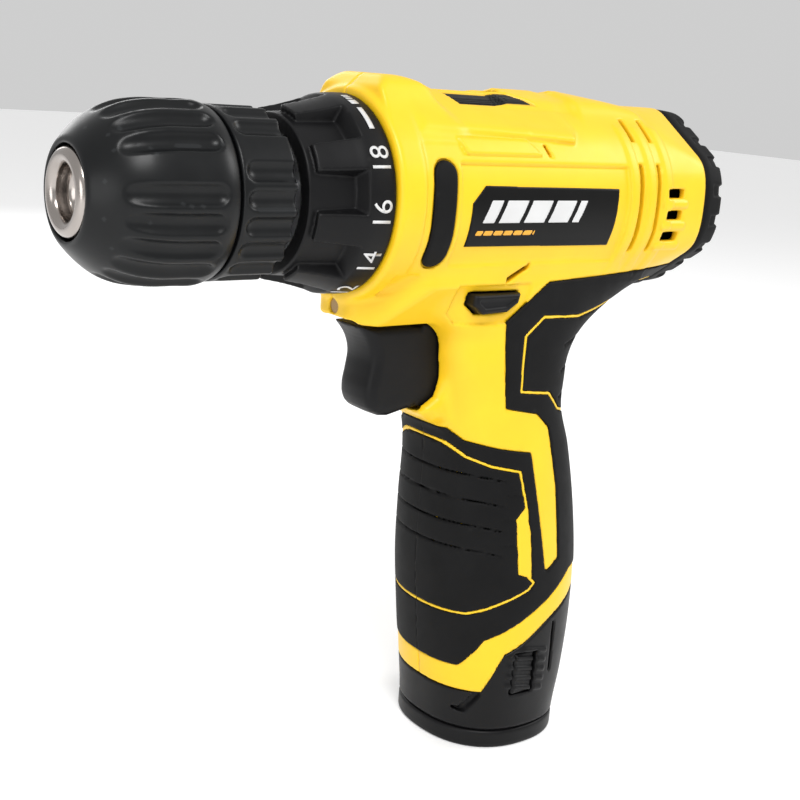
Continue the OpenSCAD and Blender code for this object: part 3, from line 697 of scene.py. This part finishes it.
def rear_sleeve(x, y, z):
    """The fixed sleeve, with flutes that run out of its rear end."""
    r = round_axis(y, z)
    angle = np.arctan2(z - AXIS, y)
    d = smax(r - REAR_SLEEVE_R, slab(x, (REAR_LOW + REAR_HIGH) / 2, (REAR_HIGH - REAR_LOW) / 2), 0.5)
    for middle in flute_angles(20):
        d = smax(d, -trough(x, angle, r, middle, 74, 85.0, REAR_SLEEVE_R, 1.2), 0.3)
    return smax(d, -smax(r - 15.4, REAR_LOW + 2 - x, 0.2), 0.2)


collar_radius = curve([COLLAR_LOW, 57.5, 60.5, 63, 67, 70.5, COLLAR_HIGH],
                      [21.55, 21.5, 21.2, 20.5, 19.5, 18.8, 18.3])


def torque_collar(x, y, z):
    """The numbered collar: eight flared pockets that run out into its plain front ring."""
    r = round_axis(y, z)
    angle = np.arctan2(z - AXIS, y)
    floor = 16.9 + 0.08 * (COLLAR_HIGH - x)
    d = smax((r - collar_radius(x)) * 0.95, slab(x, (COLLAR_LOW + COLLAR_HIGH) / 2,
                                                 (COLLAR_HIGH - COLLAR_LOW) / 2), 0.5)
    step = math.pi / 4
    across = np.abs(np.mod(angle - math.radians(7.5) + step / 2, step) - step / 2) * 19.2
    side = across - 3.35 - 0.07 * (x - 61) - 0.3 * (r - floor)
    back = 62.2 - x - 0.45 * (r - floor)
    pocket = smax(side, back, 0.25)
    front = 71.0 - x + 0.35 * (r - floor)
    cut = smax(np.minimum(pocket, front), floor - r, 0.25)
    d = smax(d, -cut, 0.3)
    bore = np.minimum(smax(r - 16.1, x - 71.4, 0.2), r - 13.4)
    return smax(d, -bore, 0.2)


def lathe(name, profile, body, material, replaces=(), around=128):
    """A closed outline of (x, radius) turned round the chuck axis."""
    turns = np.linspace(0, 2 * math.pi, around, endpoint=False)
    points = [(x, r * math.cos(t), AXIS + r * math.sin(t)) for t in turns for x, r in profile]
    n = len(profile)
    faces = [(i * n + j, i * n + (j + 1) % n, (i + 1) % around * n + (j + 1) % n, (i + 1) % around * n + j)
             for i in range(around) for j in range(n)]
    return make_piece(name, points, faces, body, material, replaces)


def make_chuck():
    field_piece("front_sleeve", front_sleeve, (FRONT_LOW - 1, -20, AXIS - 20),
                (FRONT_HIGH + 1, 20, AXIS + 20), 0.4, "chuck_sleeve", SLEEVE,
                ("chuck_front_sleeve",))
    field_piece("rear_sleeve", rear_sleeve, (REAR_LOW - 1, -20, AXIS - 20), (REAR_HIGH + 1, 20, AXIS + 20),
                0.4, "chuck", SLEEVE, ("chuck_rear_sleeve",))
    field_piece("numbered_collar", torque_collar, (COLLAR_LOW - 1, -23, AXIS - 23),
                (COLLAR_HIGH + 1, 23, AXIS + 23), 0.4, "collar", BLACK, ("torque_collar",))
    ring_middle, ring_r = NOSE - 1.95, 7.1
    rim = [(ring_middle + 1.9 * math.cos(t), ring_r + 1.8 * math.sin(t))
           for t in np.linspace(-0.42 * math.pi, 0.6 * math.pi, 28)]
    body = [(112.4, 8.9), (110.0, 12.2), (99.8, 12.2), (99.8, 8), (94.8, 8), (94.8, 12.2), (REAR_LOW, 12.2),
            (REAR_LOW, 5.0), (86, 5.0), (113.2, 5.0), (113.2, 5.3), (NOSE - 3.4, 5.3)]
    lathe("chuck_nose", rim + body, "chuck", NICKEL, ("chuck_body",))


# ---- dial marks ----------------------------------------------------------------------------------


def wrap_on_collar(points, angle_from_top, x_middle):
    """Flat marks laid on the collar: u runs back along the tool, v runs round towards the top."""
    out = []
    for u, v in points:
        x = x_middle - u
        t = math.radians(90 - angle_from_top) + v / DIAL_R
        r = float(collar_radius(np.array(x))) + 0.11
        out.append((x, r * math.cos(t), AXIS + r * math.sin(t)))
    return out


def flat_text(text, size):
    """A numeral from the built-in face as flat triangles."""
    data = bpy.data.curves.new("digits", "FONT")
    data.body, data.size, data.align_x, data.align_y = text, size, "CENTER", "CENTER"
    holder = bpy.data.objects.new("digits", data)
    bpy.context.scene.collection.objects.link(holder)
    bpy.context.view_layer.update()
    mesh = bpy.data.meshes.new_from_object(holder)
    points = [(-v.co.y, v.co.x) for v in mesh.vertices]
    faces = [tuple(p.vertices) for p in mesh.polygons]
    bpy.data.objects.remove(holder)
    return points, faces


def strip(x0, x1, y0, y1, cuts=8):
    """A flat bar cut across its height."""
    rows = np.linspace(y0, y1, cuts + 1)
    points = [(x, y) for y in rows for x in (x0, x1)]
    return points, [(2 * i, 2 * i + 1, 2 * i + 3, 2 * i + 2) for i in range(cuts)]


def make_marks():
    marks = [(flat_text(str(n), 6.3), 64.5 + 15 * (18 - n)) for n in range(18, 1, -2)]
    marks.append((strip(-0.6, 0.6, -3.2, 3.2, 8), 37))
    marks.append((strip(-0.9, 0.9, -0.9, 0.9, 3), 22))
    for k in range(3):
        marks.append((strip(-0.8, 0.8, -0.25, 0.25, 2), 17.5 - 2.4 * k))
    points, faces = [], []
    for (flat, polygons), angle in marks:
        start = len(points)
        points += wrap_on_collar(flat, angle, DIAL_X)
        faces += [tuple(start + i for i in p) for p in polygons]
    piece = make_piece("dial_marks", points, faces, "collar", WHITE)
    thick = piece.modifiers.new("film", "SOLIDIFY")
    thick.thickness, thick.offset = 0.00008, 0


# ---- small controls, label and battery -----------------------------------------------------------


trigger_front = curve([87.0, 88, 90, 93, 97, 101, 105, 108.4],
                      [43.0, 45.2, 46.8, 47.3, 46.7, 46.3, 47.7, 50.5])
finger_curve = [(float(trigger_front(z)), float(z)) for z in np.linspace(108.3, 87.1, 22)]
trigger_side = outline([(31.2, 108.3)] + finger_curve + [(41.2, 86.9), (36.5, 87.9), (31.2, 88.5)])
TRIGGER_HALF = 6.4
STEM_Z = 98


def trigger(x, y, z):
    """A finger lever, dished across, with a thin skirt each side and a stem into the switch."""
    d = smax(trigger_side(x + 0.022 * y * y, z), np.abs(y) - TRIGGER_HALF, 2.4)
    walls = smax(slab(x, 29, 4), slab(z, 98.5, 9.7), 0.8)
    skirt = smax(slab(np.abs(y), TRIGGER_HALF - 0.45, 0.45), walls, 0.2)
    stem = smax(np.sqrt(y * y + (z - STEM_Z) ** 2) - 2.3, slab(x, 27, 4.8), 0.2)
    return smin(np.minimum(d, skirt), stem, 0.4)


def switch_case(x, y, z):
    """The switch, narrowed at its front so that the trigger's skirt slides over it."""
    low, high = span("switch_body")
    d = block(x, y, z, low, high, 0.6)
    step = smax(5.2 - np.abs(y), high[0] - 7.5 - x, 0.2)
    d = smax(d, -step, 0.3)
    bore = smax(np.sqrt(y * y + (z - STEM_Z) ** 2) - 2.7, 15 - x, 0.2)
    return smax(d, -bore, 0.2)


def direction_button(x, y, z):
    """The forward and reverse bar, with a slightly dished thumb face at each end."""
    reach = BAR_HIGH[1] - 1.2
    d = smax(button_side(x, z), np.abs(y) - reach, 1.3)
    dip = smax(button_side(x, z) + 1.3, reach - 0.35 - np.abs(y), 0.1)
    return smax(d, -dip, 0.3)


def selector(x, y, z):
    """The ribbed speed slider, just below the ridge of the deck."""
    low, high = span("speed_selector")
    crown = AXIS + DECK_TOP - 1.3
    d = block(x, y, z, (low[0], -2.7, low[2]), (high[0], 2.7, crown - 0.6), 0.4)
    for k in range(4):
        start = low[0] + 1.5 + 2.4 * k
        rib = block(x, y, z, (start, -2.2, crown - 1.4), (start + 1.1, 2.2, crown), 0.3)
        d = smin(d, rib, 0.3)
    return d


def label(x, y, z):
    """The dark badge with one cut corner."""
    face = outline([(34.3, -9.0), (34.3, 0.6), (30.8, 4.4), (-10.4, 4.0), (-9.9, -9.4)])
    outer = body_shape(x, y, z)
    d = smax(outer - 0.24, -(outer + 0.15), 0.02)
    return smax(smax(d, face(x, z - AXIS), 0.2), 5 - y, 0.1)


def label_mark(kind):
    """Plain marks on the badge: slanted pale blocks above a row of amber dashes."""
    def field(x, y, z):
        w = z - AXIS
        outer = body_shape(x, y, z)
        d = smax(outer - 0.36, -outer, 0.02)
        lean = x + 0.45 * w
        if kind == "pale":
            art = smax(slab(w, -1.2, 2.5), slab(lean, 15, 14.5), 0.1)
            gaps = np.abs(np.mod(lean + 0.4, 7.4) - 3.7) - 0.65
            art = smax(art, -gaps, 0.1)
        else:
            art = smax(slab(w, -5.9, 0.55), slab(lean, 21.0, 8.6), 0.1)
            gaps = np.abs(np.mod(lean, 2.9) - 1.45) - 0.2
            art = smax(art, -gaps, 0.1)
        return smax(smax(d, art, 0.05), 5 - y, 0.1)
    return field


def battery(x, y, z):
    """The pack: black lower case under the seam, with latch slots and notch, and its hidden tower."""
    outer = handle(x, y, z)
    d = smax(outer, seam(x, z + 0.35), 0.4)
    d = smax(d, BASE_TOP + 0.02 - z, 0.4)
    slot_line = smax(stroke([(-5.0, 32.5), (-5.6, 19.5)], x, z) - 0.45, -(outer + 1.2), 0.1)
    d = smax(d, -slot_line, 0.3)
    notch = stroke([(13.9, 14.8), (15.9, 10.2)], x, z) - 0.85
    notch = np.minimum(notch, stroke([(15.9, 10.1), (17.0, 10.2)], x, z) - 0.5)
    notch = smax(notch, -(outer + 1.5), 0.1)
    d = smax(d, -smax(notch, 2 - y, 0.1), 0.3)
    rim = smax(np.abs(z - BASE_TOP - 0.3) - 0.35, -(outer + 0.5), 0.1)
    d = smax(d, -rim, 0.3)
    for k in range(5):
        rise = z - (LATCH_LOW[2] + 1.5 + 2.6 * k) - 0.2 * (x - LATCH_LOW[0] - 3)
        rib = smax(smax(np.abs(rise) - 0.6, slab(x, 2.6, 5.9), 0.4), outer - 0.5, 0.4)
        d = smin(d, smax(smax(rib, seam(x, z + 1.6), 0.3), 8 - y, 0.1), 0.4)
    window = block(x, y, z, LATCH_LOW - np.array([0.3, 2.2, 0.3]), LATCH_HIGH + np.array([0.3, 9, 0.3]), 0.5)
    d = smax(d, -window, 0.3)
    tower = np.sqrt(x**2 + y * y) - 15.2
    for turn in range(3):
        t = 2 * math.pi * turn / 3
        tower = smin(tower, np.sqrt((x - 9.93 * math.cos(t)) ** 2 + (y - 9.93 * math.sin(t)) ** 2) - 8.9, 1.0)
    tower = smax(smax(tower, z - TOWER_TOP, 0.8), 6 - z, 0.3)
    return np.minimum(d, smax(tower, -window, 0.3))


def battery_foot(x, y, z):
    """The pack's base plate, dished underneath."""
    a, b = 18.9, 19.8
    u, v = np.abs((x - 0.2) / a), np.abs(y / b)
    d = ((u**2.3 + v**2.3 + 1e-9) ** (1 / 2.3) - 1) * a
    d = smax(d, slab(z, BASE_TOP / 2, BASE_TOP / 2), 0.9)
    dish = smax(((u**2.3 + v**2.3 + 1e-9) ** (1 / 2.3) - 0.86) * a, z - 0.5, 0.3)
    return smax(d, -dish, 0.2)


def latch(x, y, z):
    """One release button with slanted finger ribs."""
    low, high = LATCH_LOW, LATCH_HIGH
    d = block(x, y, z, low, (high[0], high[1] - 0.5, high[2]), 0.7)
    for k in range(4):
        rise = z - (low[2] + 1.5 + 2.6 * k) - 0.2 * (x - low[0] - 3)
        rib = smax(smax(np.abs(rise) - 0.6, y - high[1], 0.4), slab(x, (low[0] + high[0]) / 2, 2.8), 0.4)
        d = smin(d, smax(rib, low[1] - y, 0.1), 0.3)
    return d


def make_controls():
    field_piece("trigger_blade", trigger, (21, -8, 85.5), (52, 8, 110), 0.4, "trigger",
                BLACK, ("trigger",))
    low, high = (v + s for v, s in zip(span("switch_body"), (-1, 1)))
    field_piece("switch_case", switch_case, low, high, 0.5, "housing", BLACK,
                ("switch_body",))
    low, high = BAR_LOW - 1, BAR_HIGH + 1
    field_piece("direction_button", direction_button, low, high, 0.4, "direction_bar", BLACK,
                ("direction_bar",))
    low, high = (v + s for v, s in zip(span("speed_selector"), (-1, 1)))
    field_piece("speed_button", selector, low, high, 0.3, "speed_selector", BLACK,
                ("speed_selector",))
    both_sides("side_pad", side_pad, (46.5, BARREL_R + 2, AXIS + 11), (37.5, 10, AXIS - 15), 0.35, "housing",
               RUBBER, (("side_pads",), ()))
    both_sides("side_badge", label, (36, BARREL_R + 1, AXIS + 6), (-12, 17, AXIS - 11), 0.3, "housing",
               LABEL, (("side_badges",), ()))
    for kind, material in (("pale", WHITE), ("amber", AMBER)):
        both_sides("badge_" + kind, label_mark(kind), (36, BARREL_R + 1, AXIS + 3), (-2, 18, AXIS - 8), 0.25,
                   "housing", material)
    both_sides("deck_inset", deck_inset, (35, 11, AXIS + 26), (-3, 2, AXIS + 17), 0.35, "housing",
               BLACK)
    field_piece("rear_bumper", rear_cap, (CAP_LOW - 1, -24, AXIS - 24), (CAP_HIGH + 1, 24, AXIS + 24), 0.5,
                "housing", RUBBER, ("rear_cap",))


def make_battery():
    field_piece("battery_shell", battery, (-24, -23, BASE_TOP - 1), (25, 23, TOWER_TOP + 1), FINE, "battery",
                BLACK, ("battery_case",))
    field_piece("battery_foot", battery_foot, (-21, -22, -1), (21, 22, BASE_TOP + 1), FINE, "battery",
                BLACK, ("battery_base",))
    points, quads = field_mesh(latch, span("latch_left")[0] - 1, span("latch_left")[1] + 1, 0.3)
    make_piece("latch_button_left", points, quads, "latch_left", BLACK, ("latch_left",))
    make_piece("latch_button_right", points * [1, -1, 1], quads[:, ::-1], "latch_right",
               BLACK, ("latch_right",))


make_shell()
make_grips()
make_chuck()
make_marks()
make_controls()
make_battery()

bpy.context.view_layer.update()
